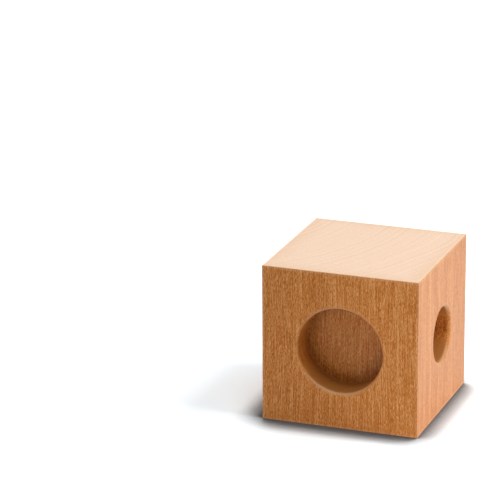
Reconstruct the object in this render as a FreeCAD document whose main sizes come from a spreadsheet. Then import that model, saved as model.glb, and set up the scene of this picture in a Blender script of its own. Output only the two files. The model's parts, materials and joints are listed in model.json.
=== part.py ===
import FreeCAD, Part
import Sketcher
import os

# A riser block of solid hardwood that lifts a bed leg, in millimetres.
#
# It is a cube that stands upright along its grain. Three of its four long-grain faces have a
# blind round bore for a leg or foot, each of another size: the medium one in the front, the
# small one in the right side and the large one in the back. The left side and both ends are
# plain. X runs to the right, Y to the back and Z up, from the middle of the face it stands on.

NODE = "riser_block"

# Each size with what it measures.
SIZES = {
    "block_width": (101.6, "across the block, side to side"),
    "block_depth": (101.6, "across the block, front to back"),
    "block_height": (101.6, "along the grain, floor to top"),
    "edge_round": (0.6, "sanded round along the outer edges"),
    "medium_bore": (55.0, "diameter of the bore in the front"),
    "medium_sink": (19.05, "from the front to that bore's floor"),
    "small_bore": (35.0, "diameter of the bore in the right side"),
    "small_sink": (19.05, "from the right side to that bore's floor"),
    "large_wall": (9.3, "wood left beside the bore in the back, out to the edges"),
    "large_sink": (19.05, "from the back to that bore's floor"),
    "mouth_round": (2.2, "round over the rim of each bore"),
}

# The planes that the bores' circles are drawn on, with the way each plane looks.
PLANE_NORMALS = {
    "XZ_Plane": FreeCAD.Vector(0, -1, 0),
    "YZ_Plane": FreeCAD.Vector(1, 0, 0),
}

# Each bore: its name, its plane, the way it opens, the size of the block along that way and its
# diameter. The large one is as wide as the wood beside it allows, 83 mm.
BORES = [
    ("medium", "XZ_Plane", FreeCAD.Vector(0, -1, 0), "Sizes.block_depth", "Sizes.medium_bore"),
    ("small", "YZ_Plane", FreeCAD.Vector(1, 0, 0), "Sizes.block_width", "Sizes.small_bore"),
    (
        "large",
        "XZ_Plane",
        FreeCAD.Vector(0, 1, 0),
        "Sizes.block_depth",
        "min(Sizes.block_width; Sizes.block_height) - 2 * Sizes.large_wall",
    ),
]


def make_sheet(doc):
    """The spreadsheet that holds the sizes, one in each row."""
    sheet = doc.addObject("Spreadsheet::Sheet", "Sizes")
    for row, (alias, (value, meaning)) in enumerate(SIZES.items(), start=1):
        sheet.set("A%d" % row, alias)
        sheet.set("B%d" % row, str(value))
        sheet.set("C%d" % row, meaning)
        sheet.setAlias("B%d" % row, alias)
    doc.recompute()


def new_sketch(body, name, role):
    """An empty sketch on the body's own origin plane of this role."""
    plane = next(feature for feature in body.Origin.OriginFeatures if feature.Role == role)
    sketch = body.newObject("Sketcher::SketchObject", name)
    sketch.AttachmentSupport = [(plane, "")]
    sketch.MapMode = "FlatFace"
    return sketch


def add_size(sketch, name, constraint, expression):
    """Adds a dimension to a sketch and binds it to the sheet."""
    sketch.renameConstraint(sketch.addConstraint(constraint), name)
    sketch.setExpression("Constraints." + name, expression)


def draw_section(body):
    """The block's cross-section: a rectangle with its centre on the origin."""
    sketch = new_sketch(body, "block_section", "XY_Plane")
    corners = [FreeCAD.Vector(x, y, 0) for x, y in ((-1, -1), (1, -1), (1, 1), (-1, 1))]
    for start, end in zip(corners, corners[1:] + corners[:1]):
        sketch.addGeometry(Part.LineSegment(start, end), False)
    for side in range(4):
        sketch.addConstraint(Sketcher.Constraint("Coincident", side, 2, (side + 1) % 4, 1))
        sketch.addConstraint(Sketcher.Constraint("Vertical" if side % 2 else "Horizontal", side))
    sketch.addConstraint(Sketcher.Constraint("Symmetric", 0, 1, 2, 1, -1, 1))
    add_size(sketch, "width", Sketcher.Constraint("DistanceX", 0, 1, 0, 2, 2), "Sizes.block_width")
    add_size(sketch, "depth", Sketcher.Constraint("DistanceY", 1, 1, 1, 2, 2), "Sizes.block_depth")
    return sketch


def add_round(doc, body, name, base, edges, size):
    """A fillet along the named edges of the feature before it."""
    fillet = body.newObject("PartDesign::Fillet", name)
    fillet.Base = (base, edges)
    fillet.setExpression("Radius", size)
    doc.recompute()


def add_block(doc, body):
    """The plain block, with every outer edge rounded by sanding."""
    pad = body.newObject("PartDesign::Pad", "block")
    pad.Profile = draw_section(body)
    pad.setExpression("Length", "Sizes.block_height")
    doc.recompute()
    every_edge = ["Edge%d" % number for number in range(1, len(pad.Shape.Edges) + 1)]
    add_round(doc, body, "outer_edges", pad, every_edge, "Sizes.edge_round")


def add_bore(doc, body, name, plane, outward, face_size, diameter):
    """A blind round bore, drawn in the face it opens through and centred there."""
    sketch = new_sketch(body, name + "_circle", plane)
    sketch.addGeometry(Part.Circle(FreeCAD.Vector(0, 1, 0), FreeCAD.Vector(0, 0, 1), 1), False)
    sketch.addConstraint(Sketcher.Constraint("PointOnObject", 0, 3, -2))
    add_size(sketch, "rise", Sketcher.Constraint("DistanceY", -1, 1, 0, 3, 1), "Sizes.block_height / 2")
    add_size(sketch, "bore", Sketcher.Constraint("Diameter", 0, 2), diameter)
    opens_plane_way = outward.dot(PLANE_NORMALS[plane]) > 0
    side = "" if opens_plane_way else "-"
    sketch.setExpression("AttachmentOffset.Base.z", side + face_size + " / 2")
    pocket = body.newObject("PartDesign::Pocket", name + "_pocket")
    pocket.Profile = sketch
    pocket.Reversed = not opens_plane_way
    pocket.setExpression("Length", "Sizes." + name + "_sink")
    uncut = pocket.BaseFeature.Shape.Volume
    doc.recompute()
    if not pocket.Shape.Volume < uncut:
        raise RuntimeError(pocket.Name + " cuts nothing")
    return pocket


def find_mouth(shape, sketch):
    """The name of the round edge that lies nearest to the circle drawn in this sketch."""
    drawn = sketch.Geometry[0]
    centre = sketch.Placement.multVec(drawn.Center)

    def miss(numbered_edge):
        curve = numbered_edge[1].Curve
        return curve.Center.distanceToPoint(centre) + abs(curve.Radius - drawn.Radius)

    numbered = enumerate(shape.Edges, start=1)
    true_edges = [pair for pair in numbered if not pair[1].Degenerated]
    rings = [pair for pair in true_edges if isinstance(pair[1].Curve, Part.Circle)]
    return "Edge%d" % min(rings, key=miss)[0]


def make_riser_block(doc):
    """The whole riser, which is worked from one piece of wood."""
    body = doc.addObject("PartDesign::Body", NODE)
    body.Label = NODE
    add_block(doc, body)
    pockets = [add_bore(doc, body, *bore) for bore in BORES]
    bored = pockets[-1]
    mouths = [find_mouth(bored.Shape, pocket.Profile[0]) for pocket in pockets]
    add_round(doc, body, "bore_mouths", bored, mouths, "Sizes.mouth_round")
    body.Placement = FreeCAD.Placement()
    return body


def check(doc, bodies):
    """Stops on a feature that failed or a shape that isn't one closed solid."""
    for item in doc.Objects:
        if "Invalid" in item.State or "Error" in item.State:
            raise RuntimeError(item.Name + " failed")
    for body in bodies:
        if body.Shape.isNull() or not body.Shape.isValid() or len(body.Shape.Solids) != 1:
            raise RuntimeError(body.Label + " is not one valid solid")


def main():
    doc = FreeCAD.newDocument("bed_riser")
    make_sheet(doc)
    bodies = [make_riser_block(doc)]
    doc.recompute()
    check(doc, bodies)
    os.makedirs("parts", exist_ok=True)
    for body in bodies:
        body.Shape.exportStep("parts/" + body.Label + ".step")
        print(body.Label, "volume %.1f mm3" % body.Shape.Volume)


main()
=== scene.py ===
import json
import math
from collections import namedtuple

import bmesh
import bpy
from mathutils import Matrix, Vector, noise


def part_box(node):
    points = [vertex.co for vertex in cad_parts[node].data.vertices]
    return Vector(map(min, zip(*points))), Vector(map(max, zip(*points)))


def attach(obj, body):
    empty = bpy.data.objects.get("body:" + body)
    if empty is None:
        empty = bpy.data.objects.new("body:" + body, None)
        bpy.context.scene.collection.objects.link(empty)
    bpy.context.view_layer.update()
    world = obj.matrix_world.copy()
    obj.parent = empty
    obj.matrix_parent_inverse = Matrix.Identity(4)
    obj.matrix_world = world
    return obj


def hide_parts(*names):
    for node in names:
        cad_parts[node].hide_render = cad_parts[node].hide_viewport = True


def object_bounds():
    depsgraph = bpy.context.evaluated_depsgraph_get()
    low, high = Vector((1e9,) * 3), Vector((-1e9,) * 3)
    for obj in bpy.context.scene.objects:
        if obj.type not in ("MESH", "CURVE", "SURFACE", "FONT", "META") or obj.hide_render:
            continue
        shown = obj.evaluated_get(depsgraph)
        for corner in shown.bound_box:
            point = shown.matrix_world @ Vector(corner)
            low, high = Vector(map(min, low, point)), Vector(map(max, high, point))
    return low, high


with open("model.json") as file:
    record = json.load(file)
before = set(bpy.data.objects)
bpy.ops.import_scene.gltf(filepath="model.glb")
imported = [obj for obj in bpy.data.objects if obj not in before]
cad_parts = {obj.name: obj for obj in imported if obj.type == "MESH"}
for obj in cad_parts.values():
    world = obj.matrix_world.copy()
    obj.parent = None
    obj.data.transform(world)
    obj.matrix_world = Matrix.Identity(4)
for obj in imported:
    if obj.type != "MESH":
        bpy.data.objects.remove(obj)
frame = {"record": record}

# A bed riser: one block of solid hardwood on a pale floor. Lengths are in metres, angles in
# degrees, and the wood's own pattern is worked in millimetres. The block stands upright along its
# grain, with a blind round bore in its front, its right side and its back. Its size and its
# bores' places come from the frame.

CAD_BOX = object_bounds()
NODE = "riser_block"
MM = 0.001

# Forms of the block: the round of the outer edges, how far sanding lets it wander and over what
# length, the round of a bore's mouth, and the cove between a bore's wall and its floor
EDGE_ROUND = 0.6 * MM
EDGE_WEAR = 0.10 * MM
WEAR_LENGTH = 9 * MM
MOUTH_ROUND = 2.2 * MM
FLOOR_COVE = 0.3 * MM

# How far the mesh of a face's flat part stays inside the block's sides, and the width of the narrow
# strips beside the rounds in a bore, which keep a round's shading from spreading
FLAT_MARGIN = 1.3 * MM
HOLD = 0.15 * MM

# How finely each form is divided. The middle of a bore's floor is a square grid, and its half
# width is given as a share of the bore's radius.
FACE_CELLS = 48
EDGE_CELLS = 4
COLLAR_CELLS = 10
MOUTH_CELLS = 10
WALL_CELLS = 8
COVE_CELLS = 4
FLOOR_RINGS = 8
FLOOR_CORE = 0.45

# Points this near to each other are welded into one
WELD = 0.001 * MM

# A bore belongs to a face when the cosine between its axis and the way the face looks is above this
SAME_WAY = 0.5

# Where the photograph was taken from: the camera's place, its turn to the left, its tilt downwards
# and its roll, then its lens and sensor in millimetres, and how far it sees
CAMERA_SPOT = (0.5536, -1.6774, 0.6924)
CAMERA_TURN = 20.72
CAMERA_DIP = 18.41
CAMERA_ROLL = 0.42
CAMERA_LENS = 218.1
SENSOR_WIDTH = 36.0
CAMERA_RANGE = 50

# Each face of the block: the way it looks, then its own right and up
FACES = {
    "front": (Vector((0, -1, 0)), Vector((1, 0, 0)), Vector((0, 0, 1))),
    "right": (Vector((1, 0, 0)), Vector((0, 1, 0)), Vector((0, 0, 1))),
    "back": (Vector((0, 1, 0)), Vector((-1, 0, 0)), Vector((0, 0, 1))),
    "left": (Vector((-1, 0, 0)), Vector((0, -1, 0)), Vector((0, 0, 1))),
    "top": (Vector((0, 0, 1)), Vector((1, 0, 0)), Vector((0, 1, 0))),
    "base": (Vector((0, 0, -1)), Vector((1, 0, 0)), Vector((0, -1, 0))),
}

# A place across a face: its share of the flat part, how far it leans out past that, and whether
# it lies in the rounded edge
Station = namedtuple("Station", "share lean rounded")


def flat_station(share):
    return Station(share, 0.0, False)


def face_stations():
    """The places across a face, from one edge to the other."""
    leans = [math.tan(math.radians(45 * step / EDGE_CELLS)) for step in range(EDGE_CELLS + 1)]
    before = [Station(-1, -lean, True) for lean in reversed(leans)]
    flats = [flat_station(2 * step / FACE_CELLS - 1) for step in range(FACE_CELLS + 1)]
    return before + flats + [Station(1, lean, True) for lean in leans]


def edge_radius(spot):
    """The sanded edge's radius near this spot. It wanders a little along the edge."""
    return EDGE_ROUND + EDGE_WEAR * noise.noise(spot / WEAR_LENGTH)


class Block:
    """The block's mesh, made face by face. Neighbouring faces meet halfway round their edge."""

    def __init__(self, low, high):
        self.centre = (low + high) / 2
        self.half = (high - low) / 2
        self.mesh = bmesh.new()

    def reach(self, way):
        """From the block's centre to its surface along an axis."""
        return Vector([size * step for size, step in zip(self.half, way)])

    def shell_point(self, face, across, along):
        """The outside's point at two stations of a face."""
        outward, right, up = FACES[face]
        core = self.reach(outward)
        lean = outward.copy()
        inset = outward.copy()
        for way, station in ((right, across), (up, along)):
            core += self.reach(way) * station.share
            lean += way * station.lean
            if station.rounded:
                inset += way * station.share
            else:
                core -= way * FLAT_MARGIN * station.share
        return self.centre + core + (lean.normalized() - inset) * edge_radius(core)

    def add_quads(self, rows):
        """Faces between rows of points. Each row runs right, and the rows follow upwards."""
        grid = [[self.mesh.verts.new(point) for point in row] for row in rows]
        for low_row, high_row in zip(grid, grid[1:]):
            for step in range(len(low_row) - 1):
                near, far = step, step + 1
                self.mesh.faces.new((low_row[near], low_row[far], high_row[far], high_row[near]))

    def add_rings(self, rings):
        """Faces between closed rings, from the outermost inwards, each running anticlockwise."""
        self.add_quads([ring + ring[:1] for ring in rings])

    def add_shell(self, face, flat_part=True):
        """A face out to the middle of its rounded edges, with or without its flat part."""
        stations = face_stations()
        first_flat = EDGE_CELLS + 1
        last_flat = first_flat + FACE_CELLS
        if flat_part:
            spans = [((0, len(stations)), (0, len(stations)))]
        else:
            everything = (0, len(stations))
            low_strip = (0, first_flat + 1)
            high_strip = (last_flat, len(stations))
            middle = (first_flat, last_flat + 1)
            spans = [(everything, low_strip), (everything, high_strip)]
            spans += [(low_strip, middle), (high_strip, middle)]
        for (left, right), (bottom, top) in spans:
            self.add_quads([
                [self.shell_point(face, across, along) for across in stations[left:right]]
                for along in stations[bottom:top]
            ])

    def square_ring(self, face):
        """The edge of a face's flat part, anticlockwise from its lower left corner."""
        shares = [2 * step / FACE_CELLS - 1 for step in range(FACE_CELLS)]
        places = [(share, -1) for share in shares] + [(1, share) for share in shares]
        places += [(-share, 1) for share in shares] + [(-1, -share) for share in shares]
        return [self.shell_point(face, flat_station(u), flat_station(v)) for u, v in places]


def round_ring(middle, right, up, radius):
    """A circle with as many points as square_ring, which starts towards the same corner."""
    steps = 4 * FACE_CELLS
    lower_left = -135
    angles = [math.radians(360 * step / steps + lower_left) for step in range(steps)]
    return [middle + (right * math.cos(a) + up * math.sin(a)) * radius for a in angles]


def rings_between(outer, inner, cells):
    """Rings that turn one ring into another in even steps, without the two themselves."""
    shares = [step / cells for step in range(1, cells)]
    return [[a.lerp(b, share) for a, b in zip(outer, inner)] for share in shares]


def arc_steps(cells):
    """The angles of a quarter circle in even steps, in radians."""
    return [math.radians(90 * step / cells) for step in range(cells + 1)]


def bore_profile(radius, depth):
    """A bore's section, as radii and depths: the rounded mouth, the wall and the cove."""
    mouth = [
        (radius + MOUTH_ROUND * (1 - math.sin(a)), MOUTH_ROUND * (1 - math.cos(a)))
        for a in arc_steps(MOUTH_CELLS)
    ]
    wall_top = MOUTH_ROUND + HOLD
    wall_foot = depth - FLOOR_COVE - HOLD
    wall = [
        (radius, wall_top + (wall_foot - wall_top) * step / WALL_CELLS)
        for step in range(WALL_CELLS + 1)
    ]
    cove = [
        (radius - FLOOR_COVE * (1 - math.cos(a)), depth - FLOOR_COVE * (1 - math.sin(a)))
        for a in arc_steps(COVE_CELLS)
    ]
    return mouth + wall + cove


def add_bore(block, face, mount):
    """A face's collar round its bore, and the bore down to its flat floor."""
    outward, right, up = FACES[face]
    radius = mount["dims"]["r_mm"] * MM
    # The mount's length is the straight wall's, from below the rounded mouth to the floor
    depth = mount["dims"]["length_mm"] * MM + MOUTH_ROUND
    # The mouth's middle lies in the face, straight out from the mount's place
    inside = Vector(mount["pos_m"]) - block.centre
    middle = block.centre + inside - outward * inside.dot(outward) + block.reach(outward)

    def ring(ring_radius, ring_depth=0.0):
        return round_ring(middle - outward * ring_depth, right, up, ring_radius)

    square = block.square_ring(face)
    collar = ring(radius + MOUTH_ROUND + HOLD)
    section = [ring(*place) for place in bore_profile(radius, depth)]
    rim = ring(radius - FLOOR_COVE - HOLD, depth)
    core_half = radius * FLOOR_CORE
    shares = [2 * step / FACE_CELLS - 1 for step in range(FACE_CELLS + 1)]
    bed = middle - outward * depth
    core = [[bed + right * core_half * u + up * core_half * v for u in shares] for v in shares]
    # The floor grid's own edge, anticlockwise from its lower left corner
    core_ring = core[0][:-1] + [row[-1] for row in core[:-1]]
    core_ring += core[-1][:0:-1] + [row[0] for row in core[:0:-1]]
    block.add_rings(
        [square] + rings_between(square, collar, COLLAR_CELLS) + [collar] + section
        + [rim] + rings_between(rim, core_ring, FLOOR_RINGS) + [core_ring]
    )
    block.add_quads(core)


def build_block():
    """The riser as one closed mesh of quads, which takes the place of the plain block."""
    block = Block(*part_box(NODE))
    bores = [mount for mount in frame["record"]["mounts"] if mount["kind"] == "bore"]
    for face, (outward, _, _) in FACES.items():
        bored = [mount for mount in bores if Vector(mount["axis"]).dot(outward) > SAME_WAY]
        block.add_shell(face, flat_part=not bored)
        for mount in bored:
            add_bore(block, face, mount)
    bmesh.ops.remove_doubles(block.mesh, verts=block.mesh.verts, dist=WELD)
    for polygon in block.mesh.faces:
        polygon.smooth = True
    mesh = bpy.data.meshes.new("riser")
    block.mesh.to_mesh(mesh)
    block.mesh.free()
    riser = bpy.data.objects.new("riser", mesh)
    bpy.context.collection.objects.link(riser)
    return riser


# How many rays each point sends out to feel what stands near it
FEELERS = 8

# A pattern in the wood: how often its noise changes in a millimetre along X, Y and Z, how many finer
# layers it holds, where it starts, and how far it moves a tone. A pattern of the rings is a noise
# along X alone, which stands for the distance from the tree's heart.
Pattern = namedtuple("Pattern", "per_mm detail start gain", defaults=(1.0,))


class Recipe:
    """Adds shader nodes to a tree. An input is given as a number, a colour, a vector or a link."""

    # The colour sockets of a Mix node, which shares their names with other sockets
    MIX_FIRST = 6
    MIX_SECOND = 7
    MIX_RESULT = 2

    def __init__(self, tree):
        self.tree = tree
        tree.nodes.clear()

    def add(self, kind, inputs=None, **settings):
        node = self.tree.nodes.new("ShaderNode" + kind)
        for name, value in settings.items():
            setattr(node, name, value)
        for name, value in (inputs or {}).items():
            self.fill(node.inputs[name], value)
        return node

    def fill(self, socket, value):
        if isinstance(value, bpy.types.NodeSocket):
            self.tree.links.new(value, socket)
        else:
            socket.default_value = value

    def math(self, operation, *values):
        node = self.add("Math", operation=operation)
        for socket, value in zip(node.inputs, values):
            self.fill(socket, value)
        return node.outputs["Value"]

    def vector(self, operation, first, second):
        node = self.add("VectorMath", operation=operation)
        self.fill(node.inputs[0], first)
        self.fill(node.inputs["Scale"] if operation == "SCALE" else node.inputs[1], second)
        return node.outputs["Value"] if operation == "DISTANCE" else node.outputs["Vector"]

    def ramp(self, value, start, end, low=0.0, high=1.0):
        """A smooth step of the value between start and end, from low to high."""
        inputs = {"Value": value, "From Min": start, "From Max": end, "To Min": low, "To Max": high}
        return self.add("MapRange", inputs, interpolation_type="SMOOTHSTEP").outputs["Result"]

    def mix(self, share, first, second, blend="MIX"):
        node = self.add("Mix", data_type="RGBA", blend_type=blend)
        self.fill(node.inputs["Factor"], share)
        self.fill(node.inputs[self.MIX_FIRST], first)
        self.fill(node.inputs[self.MIX_SECOND], second)
        return node.outputs[self.MIX_RESULT]

    def shades(self, value, *colours):
        """The colour at this value, where the colours follow each other evenly from 0 to 1."""
        node = self.add("ValToRGB", {"Fac": value})
        stops = node.color_ramp.elements
        stops[0].color = colours[0]
        stops[1].color = colours[-1]
        for step, colour in enumerate(colours[1:-1], start=1):
            stops.new(step / (len(colours) - 1)).color = colour
        return node.outputs["Color"]

    def noise(self, place, pattern):
        """The pattern's noise, which lies between 0 and 1, mostly near the middle."""
        inputs = {"Vector": place, "Location": (pattern.start,) * 3, "Scale": pattern.per_mm}
        placed = self.add("Mapping", inputs).outputs["Vector"]
        inputs = {"Vector": placed, "Scale": 1.0, "Detail": pattern.detail}
        return self.add("TexNoise", inputs).outputs["Fac"]

    def tone(self, place, pattern, middle=0.0):
        """The pattern's noise, spread by its gain round this middle."""
        low = middle - pattern.gain / 2
        return self.math("MULTIPLY_ADD", self.noise(place, pattern), pattern.gain, low)

    def openness(self, reach, inside=False):
        """How open the space within reach of the surface is, or the solid behind it."""
        settings = {"samples": FEELERS, "only_local": True, "inside": inside}
        return self.add("AmbientOcclusion", {"Distance": reach}, **settings).outputs["AO"]


# The tree's heart, in millimetres from the middle of the block's base, how far the rings stray from
# true circles round it, and how often that changes in a millimetre
PITH = (-170.0, 70.0, 0.0)
RING_DRIFT = (9.0, 9.0, 0.0)
DRIFT_PER_MM = (0.020, 0.020, 0.007)

# Colours of the wood cut along its grain, from its darkest fibres to its palest, and of its pores
DEEP = (0.450, 0.120, 0.003, 1)
MIDDLE = (0.660, 0.232, 0.036, 1)
LIGHT = (0.850, 0.410, 0.155, 1)
PORE = (0.300, 0.080, 0.004, 1)

# Patterns of the same cut: broad, middling and narrow bands of the rings, streaks, fibres, flecks
# and open pores, then the tone round which they vary
BROAD_BANDS = Pattern((0.11, 0, 0), 1.0, 3.0, 0.26)
BANDS = Pattern((0.28, 0, 0), 1.0, 11.0, 0.45)
NARROW_BANDS = Pattern((0.62, 0, 0), 1.0, 17.0, 0.25)
STREAKS = Pattern((0.30, 0.30, 0.012), 2.0, 8.0, 0.32)
FIBRES = Pattern((2.30, 2.30, 0.030), 2.0, 5.0, 2.20)
FLECKS = Pattern((2.80, 2.80, 0.52), 1.0, 15.0, 2.50)
PORES = Pattern((3.0, 3.0, 0.40), 1.0, 21.0)
SIDE_TONE = 0.46

# How strongly the bands and the fine patterns show, first on the sides and then on the front and
# back, which cut the rings more squarely
BAND_SHARES = (1.45, 0.70)
FINE_SHARES = (0.55, 1.0)

# Where the pores' noise opens a pore, and how much of its colour shows there
PORE_RAMP = (0.62, 0.74)
PORE_SHARE = 0.4

# The same wood cut across its grain: its colours, rings, speckle and middle tone. A surface counts
# as cut across over the last span, the more squarely it looks up or down.
END_DEEP = (0.450, 0.275, 0.145, 1)
END_LIGHT = (0.655, 0.435, 0.285, 1)
END_RINGS = Pattern((0.45, 0, 0), 2.0, 3.0, 1.1)
END_SPECKLE = Pattern((2.2, 2.2, 0.28), 1.0, 21.0, 1.2)
END_TONE = 0.54
END_RAMP = (0.30, 0.90)

# The wood cut across its grain darkens by this tint towards the block's sides, over this span of
# millimetres from the middle
END_EDGE_TINT = (0.940, 0.860, 0.740, 1)
END_EDGE_SPAN = (36.0, 54.0)

# Partly painted shade: the wood darkens by this tint towards the heart, over this span of
# millimetres from it, and as the heart lies off to the left this also paints the block darker
# towards its left
HEART_AND_SHADE_TINT = (0.780, 0.760, 0.660, 1)
HEART_SPAN = (160.0, 255.0)

# Painted shade: the wood darkens by this tint in the inner corners and hollows, this far out from
# them
CORNER_SHADE_TINT = (0.680, 0.645, 0.480, 1)
CORNER_SHADE_REACH = 11.5 * MM
CORNER_SHADE_RAMP = (0.50, 1.00)

# Painted shade: the end grain inside the bores darkens by this tint, where walls and floor stand
# this near
BORE_SHADE_TINT = (0.765, 0.495, 0.195, 1)
BORE_SHADE_REACH = 24 * MM
BORE_SHADE_RAMP = (0.92, 1.00)

# Painted highlight: the rounded edges are painted paler in this colour, up to this share, which also
# stands for finish rubbed thin there
WORN_EDGE_HIGHLIGHT = (0.950, 0.620, 0.360, 1)
WORN_HIGHLIGHT_SHARE = 0.13
WORN_HIGHLIGHT_REACH = 2 * MM
WORN_HIGHLIGHT_RAMP = (0.86, 0.99)

# The satin finish: its fine unevenness, the span of that over which the roughness rises, and the
# roughness from smoothest to dullest. Then how high and how strongly it stands out, how much deeper
# the pores lie, and how it bends and mirrors light.
FINISH = Pattern((3.0, 3.0, 0.12), 2.0, 40.0)
FINISH_RAMP = (0.3, 0.7)
ROUGHNESS = (0.34, 0.44)
RELIEF = 0.05 * MM
RELIEF_STRENGTH = 0.25
PORE_DEPTH = 1.2
REFRACTION = 1.5
MIRRORING = 0.22


def long_grain(recipe, place, rings, facing_front):
    """The colour of the wood cut along its grain, and where its pores lie open."""
    tone = recipe.tone(rings, BROAD_BANDS, SIDE_TONE)
    band_share = recipe.ramp(facing_front, 0.0, 1.0, *BAND_SHARES)
    for where, pattern in ((rings, BANDS), (rings, NARROW_BANDS), (place, STREAKS)):
        tone = recipe.math("MULTIPLY_ADD", recipe.tone(where, pattern), band_share, tone)
    fine = recipe.math("ADD", recipe.tone(place, FIBRES), recipe.tone(place, FLECKS))
    fine_share = recipe.ramp(facing_front, 0.0, 1.0, *FINE_SHARES)
    tone = recipe.math("MULTIPLY_ADD", fine, fine_share, tone)
    colour = recipe.shades(tone, DEEP, MIDDLE, LIGHT)
    pores = recipe.ramp(recipe.noise(place, PORES), *PORE_RAMP, 0.0, PORE_SHARE)
    return recipe.mix(pores, colour, PORE), pores


def end_grain(recipe, place, rings):
    """The colour of the wood cut across its grain."""
    tone = recipe.tone(rings, END_RINGS, END_TONE)
    tone = recipe.math("ADD", tone, recipe.tone(place, END_SPECKLE))
    colour = recipe.mix(tone, END_DEEP, END_LIGHT)
    axes = recipe.add("SeparateXYZ", {"Vector": place})
    sides = [recipe.math("ABSOLUTE", axes.outputs[axis]) for axis in "XY"]
    edge_share = recipe.ramp(recipe.math("MAXIMUM", *sides), *END_EDGE_SPAN)
    return recipe.mix(edge_share, colour, END_EDGE_TINT, "MULTIPLY")


def tree_place(recipe, place):
    """The place within the tree as it grew, and its distance from the heart."""
    slow = recipe.add("Mapping", {"Vector": place, "Scale": DRIFT_PER_MM}).outputs["Vector"]
    drift = recipe.add("TexNoise", {"Vector": slow, "Scale": 1.0, "Detail": 1.0})
    shift = recipe.vector("SUBTRACT", drift.outputs["Color"], (0.5, 0.5, 0.5))
    grown = recipe.vector("ADD", place, recipe.vector("MULTIPLY", shift, RING_DRIFT))
    flat = recipe.vector("MULTIPLY", grown, (1.0, 1.0, 0.0))
    return grown, recipe.vector("DISTANCE", flat, PITH)


def make_wood():
    """Solid hardwood with a satin finish, the same all through the block."""
    material = bpy.data.materials.new("satin_hardwood")
    material.use_nodes = True
    recipe = Recipe(material.node_tree)
    coordinates = recipe.add("TexCoord")
    place = recipe.vector("SCALE", coordinates.outputs["Object"], 1 / MM)
    grown, distance = tree_place(recipe, place)
    rings = recipe.add("CombineXYZ", {"X": distance}).outputs["Vector"]
    normal = recipe.add("SeparateXYZ", {"Vector": coordinates.outputs["Normal"]})
    facing_front = recipe.math("ABSOLUTE", normal.outputs["Y"])
    facing_up = recipe.math("ABSOLUTE", normal.outputs["Z"])
    side_colour, pores = long_grain(recipe, grown, rings, facing_front)
    end_colour = end_grain(recipe, grown, rings)
    # Painted shade on the end grain inside the bores
    bore_shade_share = recipe.ramp(recipe.openness(BORE_SHADE_REACH), *BORE_SHADE_RAMP, 1.0, 0.0)
    end_colour = recipe.mix(bore_shade_share, end_colour, BORE_SHADE_TINT, "MULTIPLY")
    # Partly painted shade: darker towards the heart, which leaves the block's left darker
    heart_and_shade_share = recipe.ramp(distance, *HEART_SPAN, 1.0, 0.0)
    side_colour = recipe.mix(heart_and_shade_share, side_colour, HEART_AND_SHADE_TINT, "MULTIPLY")
    colour = recipe.mix(recipe.ramp(facing_up, *END_RAMP), side_colour, end_colour)
    # Painted shade in the inner corners, darker where the surface is less open
    corner_shade_share = recipe.ramp(recipe.openness(CORNER_SHADE_REACH), *CORNER_SHADE_RAMP, 1.0, 0.0)
    colour = recipe.mix(corner_shade_share, colour, CORNER_SHADE_TINT, "MULTIPLY")
    # Painted highlight on the rounded edges, together with thin worn finish
    worn_highlight_share = recipe.ramp(recipe.openness(WORN_HIGHLIGHT_REACH, inside=True), *WORN_HIGHLIGHT_RAMP, WORN_HIGHLIGHT_SHARE, 0.0)
    colour = recipe.mix(worn_highlight_share, colour, WORN_EDGE_HIGHLIGHT)
    finish = recipe.noise(grown, FINISH)
    height = recipe.math("SUBTRACT", finish, recipe.math("MULTIPLY", pores, PORE_DEPTH))
    bump = recipe.add("Bump", {"Height": height, "Strength": RELIEF_STRENGTH, "Distance": RELIEF})
    shader = recipe.add("BsdfPrincipled", {
        "Base Color": colour,
        "Roughness": recipe.ramp(finish, *FINISH_RAMP, *ROUGHNESS),
        "Normal": bump.outputs["Normal"],
        "IOR": REFRACTION,
        "Specular IOR Level": MIRRORING,
    })
    output = recipe.add("OutputMaterial")
    recipe.fill(output.inputs["Surface"], shader.outputs["BSDF"])
    return material


def seen_directly(recipe):
    """1 for a ray from the camera, a gloss or a glass, and 0 for light that falls on things."""
    path = recipe.add("LightPath").outputs
    seen = recipe.math("MAXIMUM", path["Is Camera Ray"], path["Is Glossy Ray"])
    return recipe.math("MAXIMUM", seen, path["Is Transmission Ray"])


# The floor: its width, the colour in which it throws light on the block, and the one that it
# shows, which comes out white under these lamps
FLOOR_WIDTH = 12.0
FLOOR_LIGHT = (0.92, 0.92, 0.92, 1)
FLOOR_SEEN = (1.16, 1.24, 1.28, 1)

# Painted shadow: where the block stands within this reach the floor shows this darker colour, over
# this span of openness. The openness is felt with a lean to the right and the back.
FLOOR_PAINTED_SHADOW = (0.120, 0.120, 0.124, 1)
CONTACT_REACH = 21 * MM
CONTACT_LEAN = (0.124, 0.177, 1.0)
CONTACT_RAMP = (0.563, 1.056)

# The world's colour and how much light it throws
WHITE = (1, 1, 1, 1)
WORLD_LIGHT = 0.30


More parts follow.
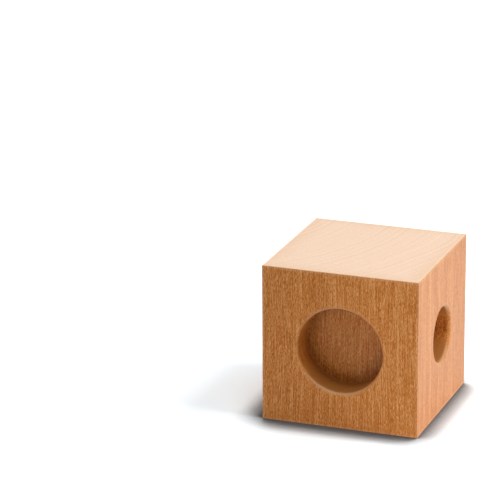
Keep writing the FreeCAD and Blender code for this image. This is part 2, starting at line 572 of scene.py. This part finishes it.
def add_floor():
    """A pale floor that shows white, keeps the block's shadow and shows a painted shadow round the
    block's foot.
    """
    half = FLOOR_WIDTH / 2
    mesh = bpy.data.meshes.new("floor")
    corners = [(-half, -half, 0), (half, -half, 0), (half, half, 0), (-half, half, 0)]
    mesh.from_pydata(corners, [], [(0, 1, 2, 3)])
    floor = bpy.data.objects.new("floor", mesh)
    bpy.context.collection.objects.link(floor)
    material = bpy.data.materials.new("pale_floor")
    material.use_nodes = True
    recipe = Recipe(material.node_tree)
    lean = recipe.add("CombineXYZ", dict(zip("XYZ", Vector(CONTACT_LEAN).normalized())))
    near_inputs = {"Distance": CONTACT_REACH, "Normal": lean.outputs["Vector"]}
    near = recipe.add("AmbientOcclusion", near_inputs, samples=FEELERS)
    # Painted shadow on the floor round the block, seen by the camera only
    shadow_share = recipe.ramp(near.outputs["AO"], *CONTACT_RAMP, 1.0, 0.0)
    from_camera = recipe.add("LightPath").outputs["Is Camera Ray"]
    seen = recipe.mix(recipe.math("MULTIPLY", shadow_share, from_camera), FLOOR_SEEN, FLOOR_PAINTED_SHADOW)
    colour = recipe.mix(seen_directly(recipe), FLOOR_LIGHT, seen)
    shader = recipe.add("BsdfDiffuse", {"Color": colour})
    output = recipe.add("OutputMaterial")
    recipe.fill(output.inputs["Surface"], shader.outputs["BSDF"])
    mesh.materials.append(material)


def set_world():
    """White where it is seen, and a weak even light on everything."""
    world = bpy.data.worlds.new("studio")
    world.use_nodes = True
    bpy.context.scene.world = world
    recipe = Recipe(world.node_tree)
    light = recipe.add("Background", {"Color": WHITE, "Strength": WORLD_LIGHT})
    white = recipe.add("Background", {"Color": WHITE, "Strength": 1.0})
    both = recipe.add("MixShader")
    recipe.fill(both.inputs[0], seen_directly(recipe))
    recipe.fill(both.inputs[1], light.outputs["Background"])
    recipe.fill(both.inputs[2], white.outputs["Background"])
    output = recipe.add("OutputWorld")
    recipe.fill(output.inputs["Surface"], both.outputs["Shader"])


# Each panel: its place, its width and height, and how bright it looks, where 1 is white
PANELS = {
    "overhead": ((0.00, -0.12, 1.50), (0.60, 0.60), 1.2),
    "over_front": ((0.15, -0.45, 1.45), (0.60, 0.60), 5.0),
    "over_right": ((0.80, 0.10, 1.25), (0.60, 0.60), 10.6),
    "right_back": ((1.10, 1.00, 0.45), (0.90, 0.80), 1.3),
    "back_high": ((-0.45, 1.30, 0.85), (1.20, 0.50), 4.8),
}


def add_panel(name, spot, size, brightness):
    """A soft light panel that faces the block."""
    lamp = bpy.data.lights.new(name, "AREA")
    lamp.shape = "RECTANGLE"
    lamp.size, lamp.size_y = size
    # A flat panel that looks as bright as white gives off pi watts from each square metre
    watts_per_area = brightness * math.pi
    lamp.energy = watts_per_area * size[0] * size[1]
    panel = bpy.data.objects.new(name, lamp)
    block_middle = (CAD_BOX[0] + CAD_BOX[1]) / 2
    aim = (block_middle - Vector(spot)).to_track_quat("-Z", "Y")
    panel.matrix_world = Matrix.Translation(spot) @ aim.to_matrix().to_4x4()
    panel.visible_camera = False
    bpy.context.collection.objects.link(panel)


def add_camera():
    """The camera at the photograph's place and angle."""
    lens = bpy.data.cameras.new("camera")
    lens.lens = CAMERA_LENS
    lens.sensor_width = SENSOR_WIDTH
    lens.clip_end = CAMERA_RANGE
    camera = bpy.data.objects.new("camera", lens)
    turn = Matrix.Rotation(math.radians(CAMERA_TURN), 4, "Z")
    dip = Matrix.Rotation(math.radians(90 - CAMERA_DIP), 4, "X")
    roll = Matrix.Rotation(math.radians(-CAMERA_ROLL), 4, "Z")
    camera.matrix_world = Matrix.Translation(CAMERA_SPOT) @ turn @ dip @ roll
    bpy.context.collection.objects.link(camera)
    bpy.context.scene.camera = camera


def main():
    add_camera()
    riser = build_block()
    riser.data.materials.append(make_wood())
    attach(riser, "root")
    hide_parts(NODE)
    add_floor()
    set_world()
    for name, (spot, size, brightness) in PANELS.items():
        add_panel(name, spot, size, brightness)
    bpy.context.scene.view_settings.view_transform = "Standard"


main()
